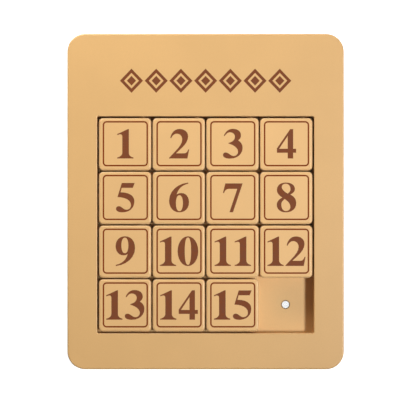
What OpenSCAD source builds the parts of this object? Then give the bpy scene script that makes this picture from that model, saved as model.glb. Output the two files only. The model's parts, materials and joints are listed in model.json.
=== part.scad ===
// Sliding number puzzle: a wood-coloured frame round a square well with sixteen cells,
// fifteen numbered tiles held down by small magnets, and one empty cell.
// Millimetres. +Z is up out of the face and +Y points to the broad border.
// The origin is on the surface that the feet stand on, under the middle of the frame.

/* [Frame] */
// Width of the frame, side to side
frame_w = 103; // [100:0.5:130]
// Length of the frame, along Y
frame_l = 125; // [115:0.5:160]
// Radius of the frame's corners, seen from above
frame_corner_r = 6.7; // [5:0.1:9]
// Rounding of the frame's upper edge
frame_edge_r = 0.6; // [0.4:0.1:1.9]
// Rounding of the well's upper edge
rim_edge_r = 0.3; // [0.2:0.05:0.6]
// Thickness of the outer skirt
skirt_t = 2; // [1.6:0.1:2.4]
// Thickness of the face round the well
face_t = 2; // [1.6:0.1:3]
// Border between the well and the frame's near edge (-Y)
near_border = 13.45; // [12:0.05:16]
// Thickness of the well's walls
well_wall_t = 1.6; // [1.2:0.1:1.8]

/* [Tiles] */
// Distance between the middles of neighbouring cells
pitch = 20; // [18:0.1:20]
// Gap between neighbouring tiles
tile_gap = 0.5; // [0.3:0.05:0.6]
// Gap between the outer tiles and the well's walls
rim_gap = 0.65; // [0.4:0.05:0.8]
// Height of a tile
tile_h = 8.7; // [7:0.1:10]
// Radius of a tile's corners, seen from above
tile_corner_r = 1.6; // [1.5:0.1:2.5]
// Rounding of a tile's upper edge
tile_edge_r = 0.7; // [0.3:0.1:0.7]
// Thickness of a tile's walls
tile_wall_t = 1.4; // [1:0.1:1.8]
// Thickness of a tile's top
tile_top_t = 1.6; // [1.2:0.1:2]

/* [Engraving] */
// Depth of the paint-filled ring, numeral and border pattern
engrave_d = 0.2; // [0.1:0.05:0.4]
// Side of the square ring on a tile, along the middle of its line
ring_side = 16.3; // [15:0.1:16.6]
// Width of the ring's line
ring_line = 0.55; // [0.3:0.05:0.8]
// Height of the numerals
numeral_h = 11; // [8:0.1:11.5]
// Number of lozenges in the row on the broad border
lozenges = 7; // [3:1:9]
// Width of a lozenge
lozenge_w = 8.6; // [6:0.1:8.8]
// Length of a lozenge, along Y
lozenge_l = 9; // [6:0.1:12]

/* [Floor, cover and magnets] */
// Height of the feet below the back cover
foot_h = 0.8; // [0.5:0.1:2]
// Thickness of the back cover
cover_t = 1.8; // [1.6:0.1:3]
// Thickness of the well's floor
floor_t = 2.4; // [2.3:0.1:4]
// Diameter of the magnets
magnet_d = 3; // [2:0.5:5]
// Height of the magnets
magnet_h = 2; // [1:0.1:2]
// Bevel round a magnet's face
magnet_bevel = 0.15; // [0.1:0.05:0.4]

/* [Hidden] */
$fn = 48;
cells = 4;
tiles = cells * cells - 1;
tile_side = pitch - tile_gap;
well_side = cells * pitch - tile_gap + 2 * rim_gap;
well_y = -frame_l / 2 + near_border + well_side / 2;

cover_z = foot_h;
floor_z = cover_z + cover_t;
deck_z = floor_z + floor_t;
rest_gap = 0.05;
tile_z = deck_z + rest_gap;
frame_top = tile_z + tile_h;
frame_h = frame_top - cover_z;

// How far a cutter reaches past the surface that it opens
cut = 1;

cover_gap = 0.15;
cover_inset = skirt_t + cover_gap;
pocket_gap = 0.15;
plug_gap = 0.05;
well_corner_r = 0.6;
ring_corner_r = 1.2;
// How far the ring and the numeral sit off the middle of a tile's face
mark_offset = [0.1, 0.2];

screw_x = 45.7;
screw_y = 55.3;
boss_d = 6;
thread_d = 2;
thread_gap = 0.05;
head_d = 3.8;
head_h = 1;
screw_l = 8;
hole_gap = 0.2;
cross_l = 2.2;
cross_w = 0.5;
cross_depth = 0.6;
foot_d = 9;
foot_gap = 0.1;
foot_inset = 0.5;
foot_x = 37;
foot_y = 52;

base_t = 1.4;
sleeve_wall = 1.5;
post_d = 2.4;
post_x = 6;

frame_low_r = 0.6;
tile_low_r = 0.3;
rib_t = 1.2;
rib_h = 3;
rib_pitch = 24;

lozenge_space = 0.6;
lozenge_pitch = lozenge_w + lozenge_space;
lozenge_line = 1.1;
lozenge_core = 0.4;
lozenge_y = 45;

wood = "burlywood";

// Numerals, in hundredths of their height. A step of an outline is a corner [x, y], or a
// curve [first handle, second handle, end] that starts where the step before it ends.
curve_steps = 6;
numeral_widths = [70, 55, 68.5, 66.5, 65, 63.5, 67.5, 66.5, 66, 66];
// Space between a leading 1 and the numeral after it, for 0 to 5
gaps_after_one = [5, 13, 5.5, 7.5, 7.5, 9];

function oval(c, r, k) = [
  [c + [r.x, k * r.y], c + [k * r.x, r.y], c + [0, r.y]],
  [c + [-k * r.x, r.y], c + [-r.x, k * r.y], c + [-r.x, 0]],
  [c + [-r.x, -k * r.y], c + [-k * r.x, -r.y], c + [0, -r.y]],
  [c + [k * r.x, -r.y], c + [r.x, -k * r.y], c + [r.x, 0]]
];

zero = [oval([35, 50], [35, 50.5], 0.56), oval([35, 50], [10.8, 46.5], 0.66)];

one = [[
  [0, 0], [55, 0], [55, 3.5],
  [[46, 5], [39.5, 11], [39.5, 19]],
  [39.5, 99.5], [36, 99.5],
  [[26, 95], [13, 88], [0, 83]],
  [0.5, 79],
  [[9, 83], [17.3, 84], [17.3, 74]],
  [17.3, 19],
  [[17.3, 11], [9, 5], [0, 3.5]]
]];

two = [[
  [0, 0], [62.5, 0], [68.5, 31], [65.5, 31],
  [[61, 19], [57, 17.5], [49, 17.5]],
  [24, 17.5],
  [[46, 38], [65, 53], [65, 75]],
  [[65, 90], [53, 100], [36, 100]],
  [[20, 100], [8, 88], [4.5, 70]],
  [7.5, 68.5],
  [[12, 78.5], [19, 84], [27, 84]],
  [[37, 84], [45, 76], [45, 64]],
  [[45, 44], [20, 24], [0, 1.5]]
]];

three = [[
  [3, 77.5], [6, 76],
  [[11, 84], [16, 88.5], [24, 88.5]],
  [[34, 88.5], [40.5, 82], [40.5, 74]],
  [[40.5, 62], [31, 55.5], [19, 53]],
  [19, 50.5],
  [[36, 46], [51, 36], [51, 23]],
  [[51, 14], [44, 8.5], [36, 8.5]],
  [[26, 8.5], [19, 20.5], [10, 20.5]],
  [[4, 20.5], [0, 17], [0, 12]],
  [[0, 4], [9, -0.5], [24, -0.5]],
  [[49, -0.5], [66.5, 15], [66.5, 36]],
  [[66.5, 49], [60, 56], [51.5, 61.5]],
  [[58, 66], [61, 72], [61, 79]],
  [[61, 92], [49, 100.5], [34, 100.5]],
  [[19, 100.5], [9, 92], [3, 77.5]]
]];

four = [
  [[0, 19.5], [36.5, 19.5], [36.5, 0], [55, 0], [55, 19.5], [65, 19.5], [65, 33], [55, 33],
   [55, 99.5], [45, 99.5], [0, 34]],
  [[7.5, 33], [36.5, 33], [36.5, 76]]
];

five = [[
  [20, 99], [63.5, 99], [57, 82.5], [19.5, 82.5], [15.5, 67.5],
  [[42, 67.5], [62.5, 58], [62.5, 37]],
  [[62.5, 15], [47, -0.5], [22, -0.5]],
  [[8, -0.5], [0, 4], [0, 11.5]],
  [[0, 17], [4, 20.5], [10, 20.5]],
  [[20, 20.5], [25, 8.5], [35, 8.5]],
  [[45, 8.5], [51, 15], [51, 24]],
  [[51, 41], [31, 51], [5, 51]]
]];

six = [[
  [64.5, 100.5],
  [[27, 96], [0, 71], [0, 39]],
  [[0, 15], [14, -0.5], [35, -0.5]],
  [[54, -0.5], [67.5, 13], [67.5, 34]],
  [[67.5, 52], [57, 65], [42, 65]],
  [[35, 65], [30, 63], [25.5, 60]],
  [[31, 79], [44, 92], [65, 96.5]]
], oval([35, 30.5], [11.8, 27], 0.62)];

seven = [[
  [8, 97.5], [66.5, 97.5], [34, 0], [22, 0], [48.5, 79], [22, 79],
  [[12, 79], [7, 75], [3.5, 64.5]],
  [0, 65.5]
]];

eight = [[
  [31, -0.5],
  [[53, -0.5], [66, 13], [66, 31]],
  [[66, 46], [58, 53], [46.5, 60]],
  [[56, 65], [61.5, 71], [61.5, 79]],
  [[61.5, 92], [49, 100.5], [31, 100.5]],
  [[13, 100.5], [0.5, 91], [0.5, 76]],
  [[0.5, 64], [7, 57], [19, 49.5]],
  [[7, 44], [0, 36], [0, 25]],
  [[0, 9], [13, -0.5], [31, -0.5]]
], [
  [31, 96.5],
  [[23, 96.5], [17, 92], [17, 86]],
  [[17, 78], [24, 71], [36.5, 63]],
  [[43, 67], [46.5, 72], [46.5, 78]],
  [[46.5, 88], [40, 96.5], [31, 96.5]]
], [
  [27, 44.5],
  [[39, 37], [46, 28], [46, 18]],
  [[46, 10], [40, 4], [31, 4]],
  [[22, 4], [15.5, 12], [15.5, 26]],
  [[15.5, 34], [20, 40], [27, 44.5]]
]];

nine = [[
  [1, -0.5],
  [[38, 4], [66, 28], [66, 61]],
  [[66, 85], [52, 100.5], [32, 100.5]],
  [[13, 100.5], [0, 87], [0, 67]],
  [[0, 49], [11, 36], [26, 36]],
  [[32, 36], [37, 37.5], [41, 40]],
  [[36, 22], [24, 8], [0.5, 3.5]]
], oval([31.5, 69.5], [11.8, 26.5], 0.62)];

numerals = [zero, one, two, three, four, five, six, seven, eight, nine];

function two_digits(n) = n < 10 ? str("0", n) : str(n);
function tile_node(n, piece) = str("tile_", two_digits(n), "_", piece);

// ---- Shared shapes ----

// Moves its children to the middle of cell i, counted row by row from the far left corner
module at_cell(i) {
  column = i % cells;
  row = floor(i / cells);
  middle = (cells - 1) / 2;
  translate([(column - middle) * pitch, well_y + (middle - row) * pitch, 0]) children();
}

module at_screws() {
  for (x = [-1, 1], y = [-1, 0, 1]) translate([x * screw_x, y * screw_y, 0]) children();
}

// Plan of a rectangle with round corners, in the middle of the origin
module plan(w, l, r) {
  square([w - 2 * r, l], center = true);
  square([w, l - 2 * r], center = true);
  for (x = [-1, 1], y = [-1, 1]) translate([x * (w / 2 - r), y * (l / 2 - r)]) circle(r);
}

// Section of a block's edge: reach is its width, h its height, and the upper and lower
// corners on the far side have radii top_r and low_r
module edge_section(reach, h, top_r, low_r) {
  translate([0, low_r]) square([reach, h - top_r - low_r]);
  square([reach - low_r, h / 2]);
  translate([0, h / 2]) square([reach - top_r, h / 2]);
  translate([reach - low_r, low_r]) circle(low_r);
  translate([reach - top_r, h - top_r]) circle(top_r);
}

// Block with corners of radius r seen from above and rounded upper and lower edges
module rounded_block(w, l, h, r, top_r, low_r) {
  for (end = [0, 1]) mirror([0, end, 0]) {
    rotate([90, 0, 90]) translate([0, 0, r - w / 2])
      linear_extrude(w - 2 * r) edge_section(l / 2, h, top_r, low_r);
    for (side = [0, 1]) mirror([side, 0, 0]) translate([w / 2 - r, l / 2 - r, 0])
      rotate_extrude(angle = 90) edge_section(r, h, top_r, low_r);
  }
  for (side = [0, 1]) mirror([side, 0, 0])
    translate([w / 2 - r, l / 2 - r, 0]) rotate([90, 0, 0])
      linear_extrude(l - 2 * r) edge_section(r, h, top_r, low_r);
}

// Section of an opening's edge: reach is its width and h its height, and it leaves a
// rounding of radius top_r along the surface's edge
module opening_section(reach, h, top_r) {
  square([reach, h + cut]);
  difference() {
    translate([0, h - top_r]) square([reach + top_r, top_r + cut]);
    translate([reach + top_r, h - top_r]) circle(top_r);
  }
}

// Square opening with corners of radius r seen from above and a rounded upper edge
module square_opening(side, h, r, top_r) {
  for (turn = [0 : 90 : 270]) rotate([0, 0, turn]) {
    rotate([90, 0, 90]) translate([0, 0, r - side / 2])
      linear_extrude(side - 2 * r) opening_section(side / 2, h, top_r);
    translate([side / 2 - r, side / 2 - r, 0])
      rotate_extrude(angle = 90) opening_section(r, h, top_r);
  }
}

// ---- Engraving ----

function end_of(step) = is_num(step.x) ? step : step[2];
function cubic(p, a, b, q) = [for (i = [1 : curve_steps]) let (t = i / curve_steps, u = 1 - t)
  u * u * u * p + 3 * u * u * t * a + 3 * u * t * t * b + t * t * t * q];
function before(path, i) = end_of(path[(i + len(path) - 1) % len(path)]);
function trace(path) = [for (i = [0 : len(path) - 1]) let (step = path[i]) each
  is_num(step.x) ? [step] : cubic(before(path, i), step[0], step[1], step[2])];

// One numeral, standing on the X axis with its left side at the origin, 100 high
module numeral(n) {
  outlines = numerals[n];
  difference() {
    polygon(trace(outlines[0]));
    for (i = [1 : 1 : len(outlines) - 1]) polygon(trace(outlines[i]));
  }
}

// The number on tile n, in the middle of the origin
module tile_number(n) {
  last = n % 10;
  start = n < 10 ? 0 : numeral_widths[1] + gaps_after_one[last];
  width = start + numeral_widths[last];
  scale(numeral_h / 100) translate([-width / 2, -50]) {
    if (n >= 10) numeral(1);
    translate([start, 0]) numeral(last);
  }
}

module tile_ring() {
  difference() {
    plan(ring_side + ring_line, ring_side + ring_line, ring_corner_r + ring_line / 2);
    plan(ring_side - ring_line, ring_side - ring_line, ring_corner_r - ring_line / 2);
  }
}

module lozenge(w, l) {
  polygon([[w / 2, 0], [0, l / 2], [-w / 2, 0], [0, -l / 2]]);
}

// Row of outlined lozenges, each with a small full one inside
module border_pattern() {
  inset = lozenge_line * norm([lozenge_w, lozenge_l]);
  for (i = [0 : lozenges - 1]) translate([(i - (lozenges - 1) / 2) * lozenge_pitch, 0]) {
    difference() {
      lozenge(lozenge_w, lozenge_l);
      lozenge(lozenge_w - 2 * inset / lozenge_l, lozenge_l - 2 * inset / lozenge_w);
    }
    lozenge(lozenge_w * lozenge_core, lozenge_l * lozenge_core);
  }
}

// A magnet that stands on its back, with the bevelled face up
module magnet() {
  r = magnet_d / 2;
  color("lightsteelblue") rotate_extrude() polygon([
    [0, 0], [r, 0], [r, magnet_h - magnet_bevel], [r - magnet_bevel, magnet_h], [0, magnet_h]
  ]);
}

// ---- Body of the puzzle ----

module front_frame() {
  face_z = frame_top - face_t;
  color(wood) difference() {
    union() {
      difference() {
        translate([0, 0, cover_z])
          rounded_block(frame_w, frame_l, frame_h, frame_corner_r, frame_edge_r, frame_low_r);
        translate([0, 0, cover_z - cut]) linear_extrude(face_z - cover_z + cut)
          plan(frame_w - 2 * skirt_t, frame_l - 2 * skirt_t, frame_corner_r - skirt_t);
      }
      translate([0, well_y, deck_z]) linear_extrude(face_z - deck_z + face_t / 2)
        square(well_side + 2 * well_wall_t, center = true);
      at_screws() translate([0, 0, floor_z]) cylinder(d = boss_d, h = face_z - floor_z + face_t / 2);
      border_ribs(face_z);
    }
    translate([0, well_y, deck_z - cut])
      square_opening(well_side, frame_top - deck_z + cut, well_corner_r, rim_edge_r);
    at_screws() translate([0, 0, floor_z - cut])
      cylinder(d = thread_d + 2 * thread_gap, h = screw_l + cut);
    translate([0, lozenge_y, frame_top - engrave_d]) linear_extrude(cut) border_pattern();
  }
}

// Ribs under the face of the broad border, from the well's wall to the skirt
module border_ribs(face_z) {
  start = well_y + well_side / 2 + well_wall_t / 2;
  end = frame_l / 2 - skirt_t / 2;
  for (i = [-1, 0, 1]) translate([i * rib_pitch - rib_t / 2, start, face_z - rib_h])
    cube([rib_t, end - start, rib_h + face_t / 2]);
}

module well_floor() {
  color(wood) difference() {
    translate([0, well_y, floor_z]) linear_extrude(floor_t)
      square(well_side + 2 * well_wall_t, center = true);
    for (i = [0 : tiles]) at_cell(i) translate([0, 0, deck_z - magnet_h])
      cylinder(d = magnet_d + 2 * pocket_gap, h = magnet_h + cut);
  }
}

module cell_magnets() {
  for (i = [0 : tiles]) at_cell(i) translate([0, 0, deck_z - magnet_h]) magnet();
}

module back_cover() {
  color(wood) difference() {
    translate([0, 0, cover_z]) linear_extrude(cover_t)
      plan(frame_w - 2 * cover_inset, frame_l - 2 * cover_inset, frame_corner_r - cover_inset);
    at_screws() translate([0, 0, cover_z - cut]) {
      cylinder(d = thread_d + 2 * hole_gap, h = cover_t + 2 * cut);
      cylinder(d = head_d + 2 * hole_gap, h = head_h + cut);
    }
    for (x = [-1, 1], y = [-1, 1]) translate([x * foot_x, y * foot_y, cover_z - cut])
      cylinder(d = foot_d + 2 * foot_gap, h = foot_inset + cut);
  }
}

module cover_screws() {
  color("silver") at_screws() translate([0, 0, cover_z]) difference() {
    union() {
      cylinder(d = head_d, h = head_h);
      cylinder(d = thread_d, h = screw_l);
    }
    for (turn = [0, 90]) rotate([0, 0, turn])
      translate([-cross_l / 2, -cross_w / 2, -cut]) cube([cross_l, cross_w, cross_depth + cut]);
  }
}

module rubber_feet() {
  color("dimgray") for (x = [-1, 1], y = [-1, 1]) translate([x * foot_x, y * foot_y, 0])
    cylinder(d = foot_d, h = foot_h + foot_inset);
}

// ---- Tiles ----

module tile_cap(n) {
  cavity_side = tile_side - 2 * tile_wall_t;
  color(wood) at_cell(n - 1) translate([0, 0, tile_z]) difference() {
    rounded_block(tile_side, tile_side, tile_h, tile_corner_r, tile_edge_r, tile_low_r);
    translate([0, 0, -cut]) linear_extrude(tile_h - tile_top_t + cut)
      square(cavity_side, center = true);
    translate([mark_offset.x, mark_offset.y, tile_h - engrave_d]) {
      linear_extrude(cut) tile_ring();
      linear_extrude(cut) tile_number(n);
    }
  }
}

module tile_base(n) {
  base_side = tile_side - 2 * tile_wall_t - 2 * plug_gap;
  color(wood) at_cell(n - 1) translate([0, 0, tile_z]) difference() {
    union() {
      linear_extrude(base_t) square(base_side, center = true);
      cylinder(d = magnet_d + 2 * sleeve_wall, h = magnet_h + base_t);
      for (x = [-1, 1], y = [-1, 1]) translate([x * post_x, y * post_x, 0])
        cylinder(d = post_d, h = tile_h - tile_top_t);
    }
    translate([0, 0, -cut]) cylinder(d = magnet_d + 2 * pocket_gap, h = magnet_h + cut);
  }
}

module tile_magnet(n) {
  at_cell(n - 1) translate([0, 0, tile_z + magnet_h]) mirror([0, 0, 1]) magnet();
}

front_frame();
well_floor();
back_cover();
cell_magnets();
cover_screws();
rubber_feet();
for (n = [1 : tiles]) {
  tile_cap(n);
  tile_base(n);
  tile_magnet(n);
}
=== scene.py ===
"""Looks of the sliding number puzzle: its materials, the paint in its engraving, and a studio."""

import json
import math

import bmesh
import bpy
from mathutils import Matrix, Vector

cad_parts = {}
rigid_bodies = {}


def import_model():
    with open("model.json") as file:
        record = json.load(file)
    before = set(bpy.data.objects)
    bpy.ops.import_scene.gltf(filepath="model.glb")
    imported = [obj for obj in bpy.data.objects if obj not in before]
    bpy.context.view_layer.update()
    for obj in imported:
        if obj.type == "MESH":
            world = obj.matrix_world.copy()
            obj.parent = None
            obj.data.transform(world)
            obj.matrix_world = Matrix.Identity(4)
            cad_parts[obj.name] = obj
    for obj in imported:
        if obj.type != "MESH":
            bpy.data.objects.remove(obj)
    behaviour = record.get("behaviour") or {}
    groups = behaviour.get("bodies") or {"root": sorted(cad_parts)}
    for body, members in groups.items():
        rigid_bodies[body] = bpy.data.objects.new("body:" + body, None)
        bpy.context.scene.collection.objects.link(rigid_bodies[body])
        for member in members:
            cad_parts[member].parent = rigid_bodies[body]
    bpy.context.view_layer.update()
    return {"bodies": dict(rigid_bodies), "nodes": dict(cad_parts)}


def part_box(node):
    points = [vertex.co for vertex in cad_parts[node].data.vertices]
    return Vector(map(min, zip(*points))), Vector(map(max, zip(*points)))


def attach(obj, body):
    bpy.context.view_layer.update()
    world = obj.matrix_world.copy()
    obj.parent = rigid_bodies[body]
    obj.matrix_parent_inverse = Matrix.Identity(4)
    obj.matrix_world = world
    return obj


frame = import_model()

MM = 0.001
NODES = frame["nodes"]
FACE_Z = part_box("front_frame")[1].z

# Camera, straight above the face
CAMERA_OFF_CENTRE = Vector((-2.10 * MM, 0.60 * MM))
CAMERA_ABOVE_FACE = 1000 * MM
VIEW_WIDTH_AT_FACE = 148.9 * MM
SENSOR = 36.0

# Paint
PAINT_THICKNESS = 0.14 * MM
UP = 0.999

# Numerals stay nearer to the middle of their tile than this, and the ring reaches further
NUMERAL_REACH = 7.8 * MM

# How much lighter the tiles get from one column to the next, as painted light that brightens them
# towards the right
TILE_COLUMNS = 4
COLUMN_PAINTED_LIGHT = 0.018

# Colours, linear
WOOD_FRAME = (0.750, 0.443, 0.168)
WOOD_TILE = (0.800, 0.478, 0.192)
WOOD_WELL = (0.788, 0.513, 0.210)
WOOD_BASE = (0.740, 0.440, 0.170)
# The lighter colour of rounded edges is a painted highlight
WOOD_EDGE_HIGHLIGHT = (1.0, 0.76, 0.48)
PAINT_BROWN = (0.183, 0.042, 0.005)
PAINT_RING = (0.200, 0.030, 0.001)
NICKEL = (0.93, 0.95, 0.955)
STEEL = (0.60, 0.60, 0.59)
RUBBER = (0.022, 0.021, 0.020)
FLOOR_PALE = (0.90, 0.90, 0.90)

# Roughness of the plastics, and how much their speckle changes it
ROUGH_FRAME = 0.38
ROUGH_WELL = 0.45
ROUGH_TILE = 0.33
ROUGH_BASE = 0.52
SPECKLE_ROUGHNESS = 0.06

# How far a rounded edge is lightened towards its lighter colour, as a painted highlight, and how much
# smoother it is, as if rubbed
EDGE_HIGHLIGHT_SHARE = 0.4
RUB_POLISH = 0.12

# Specular level of the paints
GLOSS_NUMERAL = 0.5
GLOSS_RING = 0.15

# Studio
FLOOR_GLOW = 0.86
WORLD_GLOW = 0.07
FLOOR_SIDE = 6.0

# The key leans in from the right, so the empty cell's right wall shades a strip of the cell's floor.
# Its x is KEY_FOOT_X at floor level, and moves right by KEY_TILT for each unit of height.
KEY_TILT = 0.374
KEY_HEIGHT = 900 * MM
KEY_SPREAD = math.radians(20)
KEY_RADIUS = 60 * MM
KEY_POWER = 27.3
KEY_AIM = Vector((-100 * MM, 60 * MM, FACE_Z))
KEY_FOOT_X = 36 * MM
KEY_Y = -98 * MM
KEY_PLACE = Vector((KEY_FOOT_X + KEY_TILT * KEY_HEIGHT, KEY_Y, KEY_HEIGHT))

# Low soft boxes that catch the rounded edges on the far and right sides
FAR_BOX = {"place": Vector((-130 * MM, 250 * MM, 110 * MM)), "side": 180 * MM, "power": 0.62}
RIGHT_BOX = {"place": Vector((300 * MM, 60 * MM, 170 * MM)), "side": 120 * MM, "power": 0.14}

# The ceiling panel is what the level metal faces mirror
CEILING_SIDE = 260 * MM
CEILING_HEIGHT = 1200 * MM
CEILING_GLOW = 0.98


# ---------------------------------------------------------------- node helpers

class Nodes:
    """A material's node tree with short calls for what every material here needs."""

    def __init__(self, name):
        self.material = bpy.data.materials.new(name)
        self.material.use_nodes = True
        self.tree = self.material.node_tree
        self.tree.nodes.clear()
        self.shader = self.add("ShaderNodeBsdfPrincipled")
        out = self.add("ShaderNodeOutputMaterial")
        self.link(self.shader.outputs["BSDF"], out.inputs["Surface"])
        self.place = self.add("ShaderNodeTexCoord")

    def add(self, kind, **settings):
        node = self.tree.nodes.new(kind)
        for key, value in settings.items():
            setattr(node, key, value)
        return node

    def link(self, source, target):
        self.tree.links.new(source, target)

    def set(self, **values):
        for key, value in values.items():
            socket = self.shader.inputs[key.replace("_", " ")]
            socket.default_value = (*value, 1.0) if isinstance(value, tuple) else value

    def noise(self, size, detail=3.0, roughness=0.55, stretch=None):
        """Noise from 0 to 1, with features of about that size in metres, on the object itself."""
        node = self.add("ShaderNodeTexNoise", noise_dimensions="3D")
        node.inputs["Scale"].default_value = 1.0 / size
        node.inputs["Detail"].default_value = detail
        node.inputs["Roughness"].default_value = roughness
        source = self.place.outputs["Object"]
        if stretch is not None:
            mapping = self.add("ShaderNodeMapping")
            mapping.inputs["Scale"].default_value = stretch
            self.link(source, mapping.inputs["Vector"])
            source = mapping.outputs["Vector"]
        self.link(source, node.inputs["Vector"])
        return node.outputs["Fac"]

    def cells(self, size):
        """Distance to the nearest of many points that lie about that far apart."""
        node = self.add("ShaderNodeTexVoronoi")
        node.inputs["Scale"].default_value = 1.0 / size
        self.link(self.place.outputs["Object"], node.inputs["Vector"])
        return node.outputs["Distance"]

    def remap(self, value, low, high, out_low=0.0, out_high=1.0):
        """A value from low to high, eased to the range from out_low to out_high."""
        node = self.add("ShaderNodeMapRange", interpolation_type="SMOOTHSTEP")
        limits = {"From Min": low, "From Max": high, "To Min": out_low, "To Max": out_high}
        for key, number in limits.items():
            node.inputs[key].default_value = number
        self.link(value, node.inputs["Value"])
        return node.outputs["Result"]

    def math(self, operation, a, b):
        node = self.add("ShaderNodeMath", operation=operation)
        for socket, value in zip(node.inputs, (a, b)):
            if isinstance(value, (int, float)):
                socket.default_value = value
            else:
                self.link(value, socket)
        return node.outputs["Value"]

    def mix(self, share, a, b):
        """Colour a where share is 0 and b where it is 1."""
        node = self.add("ShaderNodeMix", data_type="RGBA")
        self.link(share, node.inputs["Factor"])
        for name, value in (("A", a), ("B", b)):
            socket = next(s for s in node.inputs if s.name == name and s.type == "RGBA")
            if isinstance(value, tuple):
                socket.default_value = (*value, 1.0)
            else:
                self.link(value, socket)
        return next(s for s in node.outputs if s.type == "RGBA")

    def rounded_edges(self):
        """1 on surfaces half way between level and upright, as on a rounded edge, and 0 on the flats."""
        split = self.add("ShaderNodeSeparateXYZ")
        self.link(self.place.outputs["Normal"], split.inputs["Vector"])
        level = self.math("ABSOLUTE", split.outputs["Z"], 0.0)
        tilted = self.math("MULTIPLY", level, self.math("SUBTRACT", 1.0, level))
        return self.remap(tilted, 0.02, 0.22)

    def bump(self, layers):
        """Bumps laid one over another; a layer is (height, how deep in metres)."""
        normal = None
        for height, depth in layers:
            node = self.add("ShaderNodeBump")
            node.inputs["Strength"].default_value = 1.0
            node.inputs["Distance"].default_value = depth
            self.link(height, node.inputs["Height"])
            if normal is not None:
                self.link(normal, node.inputs["Normal"])
            normal = node.outputs["Normal"]
        self.link(normal, self.shader.inputs["Normal"])


def tone(colour, factor):
    return tuple(min(1.0, c * factor) for c in colour)


# ---------------------------------------------------------------- materials

def wood_plastic(name, colour, roughness):
    """Matte plastic in a wood colour: soft clouds, a fine speckle, and rounded edges rubbed smooth and
    lightened with a painted highlight.
    """
    n = Nodes(name)
    clouds = n.noise(22 * MM, detail=2.0)
    speckle = n.noise(0.35 * MM, detail=4.0, roughness=0.7)
    base = n.mix(n.remap(clouds, 0.30, 0.70), tone(colour, 0.975), tone(colour, 1.02))
    flecked = n.mix(n.remap(speckle, 0.35, 0.72, 0.0, 0.5), base, tone(colour, 0.93))
    # Painted highlight: rounded edges are patchily lightened; they are also made smoother, as if rubbed.
    rub_and_highlight = n.math("MULTIPLY", n.rounded_edges(), n.remap(n.noise(3 * MM), 0.30, 0.65, 0.35, 1.0))
    edge_highlighted = n.mix(n.math("MULTIPLY", rub_and_highlight, EDGE_HIGHLIGHT_SHARE), flecked, WOOD_EDGE_HIGHLIGHT)
    n.link(edge_highlighted, n.shader.inputs["Base Color"])
    dull = n.remap(speckle, 0.30, 0.70, roughness - SPECKLE_ROUGHNESS, roughness + SPECKLE_ROUGHNESS)
    polished = n.math("SUBTRACT", dull, n.math("MULTIPLY", rub_and_highlight, RUB_POLISH))
    n.link(polished, n.shader.inputs["Roughness"])
    n.set(IOR=1.46)
    grain = n.noise(0.18 * MM, detail=2.0)
    n.bump([(n.noise(9 * MM, detail=1.0), 0.02 * MM), (grain, 0.004 * MM)])
    return n.material


def brown_paint(name, colour, gloss):
    """Brown paint wiped into the engraving: uneven cover, a slight gloss and a faint ripple."""
    n = Nodes(name)
    cover = n.noise(1.2 * MM, detail=4.0, roughness=0.6)
    covered = n.mix(n.remap(cover, 0.35, 0.70), colour, tone(colour, 1.18))
    n.link(covered, n.shader.inputs["Base Color"])
    n.link(n.remap(cover, 0.30, 0.70, 0.56, 0.72), n.shader.inputs["Roughness"])
    n.set(IOR=1.40, Specular_IOR_Level=gloss)
    n.bump([(cover, 0.012 * MM), (n.noise(0.15 * MM, detail=2.0), 0.003 * MM)])
    return n.material


def nickel_plate(name):
    """Bright nickel plating with fine lapping scratches and a few dull spots."""
    n = Nodes(name)
    scratches = n.noise(0.12 * MM, detail=3.0, stretch=(1.0, 12.0, 1.0))
    spots = n.noise(0.7 * MM, detail=3.0)
    colour = n.mix(n.remap(spots, 0.55, 0.75, 0.0, 0.5), NICKEL, tone(NICKEL, 0.93))
    n.link(colour, n.shader.inputs["Base Color"])
    n.link(n.remap(scratches, 0.30, 0.75, 0.09, 0.17), n.shader.inputs["Roughness"])
    n.set(Metallic=1.0)
    n.bump([(scratches, 0.0015 * MM)])
    return n.material


def screw_steel(name):
    """Zinc-plated steel: brushed round the head, with a faint dull bloom."""
    n = Nodes(name)
    brushed = n.noise(0.10 * MM, detail=3.0, stretch=(1.0, 8.0, 1.0))
    bloom = n.noise(1.5 * MM, detail=4.0)
    colour = n.mix(n.remap(bloom, 0.40, 0.70, 0.0, 0.8), STEEL, tone(STEEL, 0.72))
    n.link(colour, n.shader.inputs["Base Color"])
    n.link(n.remap(brushed, 0.30, 0.70, 0.28, 0.48), n.shader.inputs["Roughness"])
    n.set(Metallic=1.0)
    n.bump([(brushed, 0.003 * MM)])
    return n.material


def foot_rubber(name):
    """Dark rubber with a fine pebbled skin and a trace of dust."""
    n = Nodes(name)
    pebbles = n.cells(0.30 * MM)
    dust = n.noise(2.5 * MM, detail=4.0)
    colour = n.mix(n.remap(dust, 0.45, 0.75, 0.0, 0.5), RUBBER, tone(RUBBER, 3.0))
    n.link(colour, n.shader.inputs["Base Color"])
    n.link(n.remap(dust, 0.30, 0.70, 0.70, 0.88), n.shader.inputs["Roughness"])
    n.bump([(pebbles, 0.02 * MM)])
    return n.material


def pale_floor(name):
    """A plain white floor with a glow that only the camera sees, so that it shows no shadow."""
    n = Nodes(name)
    fibres = n.noise(2 * MM, detail=2.0)
    colour = n.mix(n.remap(fibres, 0.3, 0.7), FLOOR_PALE, tone(FLOOR_PALE, 0.98))
    n.link(colour, n.shader.inputs["Base Color"])
    n.set(Roughness=0.9, Emission_Color=(1.0, 1.0, 1.0))
    seen = n.add("ShaderNodeLightPath").outputs["Is Camera Ray"]
    n.link(n.math("MULTIPLY", seen, FLOOR_GLOW), n.shader.inputs["Emission Strength"])
    return n.material


# ---------------------------------------------------------------- pieces

def give(material, *names):
    for name in names:
        mesh = NODES[name].data
        for i in range(len(mesh.materials)):
            mesh.materials[i] = material


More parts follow.
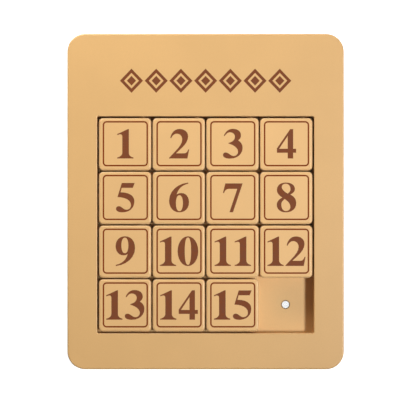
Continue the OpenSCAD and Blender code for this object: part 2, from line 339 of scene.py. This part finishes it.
def engraved_faces(mesh):
    """The level faces just under a node's face, which are the bottom of its engraving."""
    level = [p for p in mesh.polygons if p.normal.z > UP]
    heights = sorted({round(p.center.z / MM, 3) for p in level})
    return [p for p in level if round(p.center.z / MM, 3) == heights[-2]]


def on_ring(mesh, polygon, middle):
    """Whether a face of a tile's engraving belongs to the ring."""
    corners = (mesh.vertices[index].co - middle for index in polygon.vertices)
    return max(max(abs(c.x), abs(c.y)) for c in corners) > NUMERAL_REACH


def fill_engraving(name, node, body, paints):
    """Paint in a node's engraving, as a closed piece that stops a little short of the face."""
    mesh = NODES[node].data
    low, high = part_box(node)
    middle = (low + high) / 2
    shape = bmesh.new()
    corners = {}
    for polygon in engraved_faces(mesh):
        outline = []
        for index in polygon.vertices:
            point = mesh.vertices[index].co
            key = tuple(round(c / MM, 4) for c in point)
            if key not in corners:
                corners[key] = shape.verts.new(point)
            outline.append(corners[key])
        face = shape.faces.new(outline)
        face.material_index = int(len(paints) > 1 and on_ring(mesh, polygon, middle))
    grown = bmesh.ops.extrude_face_region(shape, geom=shape.faces[:])
    top = [v for v in grown["geom"] if isinstance(v, bmesh.types.BMVert)]
    bmesh.ops.translate(shape, verts=top, vec=(0, 0, PAINT_THICKNESS))
    bmesh.ops.recalc_face_normals(shape, faces=shape.faces[:])
    paint = bpy.data.meshes.new(name)
    shape.to_mesh(paint)
    shape.free()
    for material in paints:
        paint.materials.append(material)
    piece = bpy.data.objects.new(name, paint)
    bpy.context.scene.collection.objects.link(piece)
    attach(piece, body)


# ---------------------------------------------------------------- studio

def aim(thing, target):
    thing.rotation_mode = "QUATERNION"
    thing.rotation_quaternion = (target - thing.location).to_track_quat("-Z", "Y")


def add_lamp(name, kind, place, target, power, **settings):
    data = bpy.data.lights.new(name, kind)
    data.energy = power
    for key, value in settings.items():
        setattr(data, key, value)
    lamp = bpy.data.objects.new(name, data)
    bpy.context.scene.collection.objects.link(lamp)
    lamp.location = place
    aim(lamp, target)


def light_studio():
    face = Vector((0, 0, FACE_Z))
    add_lamp("key", "SPOT", KEY_PLACE, KEY_AIM, KEY_POWER,
             spot_size=2 * KEY_SPREAD, spot_blend=1.0, shadow_soft_size=KEY_RADIUS)
    for name, box in (("far_box", FAR_BOX), ("right_box", RIGHT_BOX)):
        add_lamp(name, "AREA", box["place"], face, box["power"], shape="SQUARE", size=box["side"])
    add_lamp("ceiling", "AREA", Vector((0, 0, CEILING_HEIGHT)), face,
             CEILING_GLOW * math.pi * CEILING_SIDE ** 2, shape="SQUARE", size=CEILING_SIDE)


def white_world():
    """White behind everything, and a dimmer white as light."""
    world = bpy.data.worlds.new("studio")
    bpy.context.scene.world = world
    world.use_nodes = True
    tree = world.node_tree
    tree.nodes.clear()
    path = tree.nodes.new("ShaderNodeLightPath")
    glow = tree.nodes.new("ShaderNodeMapRange")
    glow.inputs["To Min"].default_value = WORLD_GLOW
    glow.inputs["To Max"].default_value = 1.0
    back = tree.nodes.new("ShaderNodeBackground")
    back.inputs["Color"].default_value = (1.0, 1.0, 1.0, 1.0)
    out = tree.nodes.new("ShaderNodeOutputWorld")
    tree.links.new(path.outputs["Is Camera Ray"], glow.inputs["Value"])
    tree.links.new(glow.outputs["Result"], back.inputs["Strength"])
    tree.links.new(back.outputs["Background"], out.inputs["Surface"])


def lay_floor():
    shape = bmesh.new()
    bmesh.ops.create_grid(shape, x_segments=2, y_segments=2, size=FLOOR_SIDE / 2)
    mesh = bpy.data.meshes.new("floor")
    shape.to_mesh(mesh)
    shape.free()
    mesh.materials.append(pale_floor("floor_white"))
    floor = bpy.data.objects.new("floor", mesh)
    bpy.context.scene.collection.objects.link(floor)


def place_camera():
    data = bpy.data.cameras.new("camera")
    data.sensor_width = SENSOR
    data.lens = SENSOR * CAMERA_ABOVE_FACE / VIEW_WIDTH_AT_FACE
    data.clip_start = 10 * MM
    data.clip_end = 20.0
    camera = bpy.data.objects.new("camera", data)
    bpy.context.scene.collection.objects.link(camera)
    camera.location = (*CAMERA_OFF_CENTRE, FACE_Z + CAMERA_ABOVE_FACE)
    bpy.context.scene.camera = camera


# ---------------------------------------------------------------- the scene

def dress_puzzle():
    give(wood_plastic("frame_wood", WOOD_FRAME, ROUGH_FRAME), "front_frame", "back_cover")
    give(wood_plastic("well_wood", WOOD_WELL, ROUGH_WELL), "well_floor")
    # Painted light: each column of tiles has its own copy of the tile colour, lighter towards the right.
    painted_light_tones = [tone(WOOD_TILE, 1.0 + COLUMN_PAINTED_LIGHT * column) for column in range(TILE_COLUMNS)]
    painted_light_tile_materials = [wood_plastic(f"tile_wood_painted_light_{i + 1}", painted_light_tone, ROUGH_TILE)
                      for i, painted_light_tone in enumerate(painted_light_tones)]
    base_material = wood_plastic("base_wood", WOOD_BASE, ROUGH_BASE)
    nickel = nickel_plate("nickel")
    paint = brown_paint("paint_brown", PAINT_BROWN, GLOSS_NUMERAL)
    ring_paint = brown_paint("paint_ring", PAINT_RING, GLOSS_RING)
    give(nickel, "cell_magnets")
    give(screw_steel("screw_zinc"), "cover_screws")
    give(foot_rubber("rubber_dark"), "rubber_feet")
    fill_engraving("border_paint", "front_frame", "case", [paint])
    for i, body in enumerate(sorted(name for name in frame["bodies"] if name != "case")):
        give(painted_light_tile_materials[i % TILE_COLUMNS], f"{body}_cap")
        give(base_material, f"{body}_base")
        give(nickel, f"{body}_magnet")
        fill_engraving(f"{body}_paint", f"{body}_cap", body, [paint, ring_paint])


bpy.context.scene.view_settings.view_transform = "Standard"
dress_puzzle()
white_world()
light_studio()
lay_floor()
place_camera()
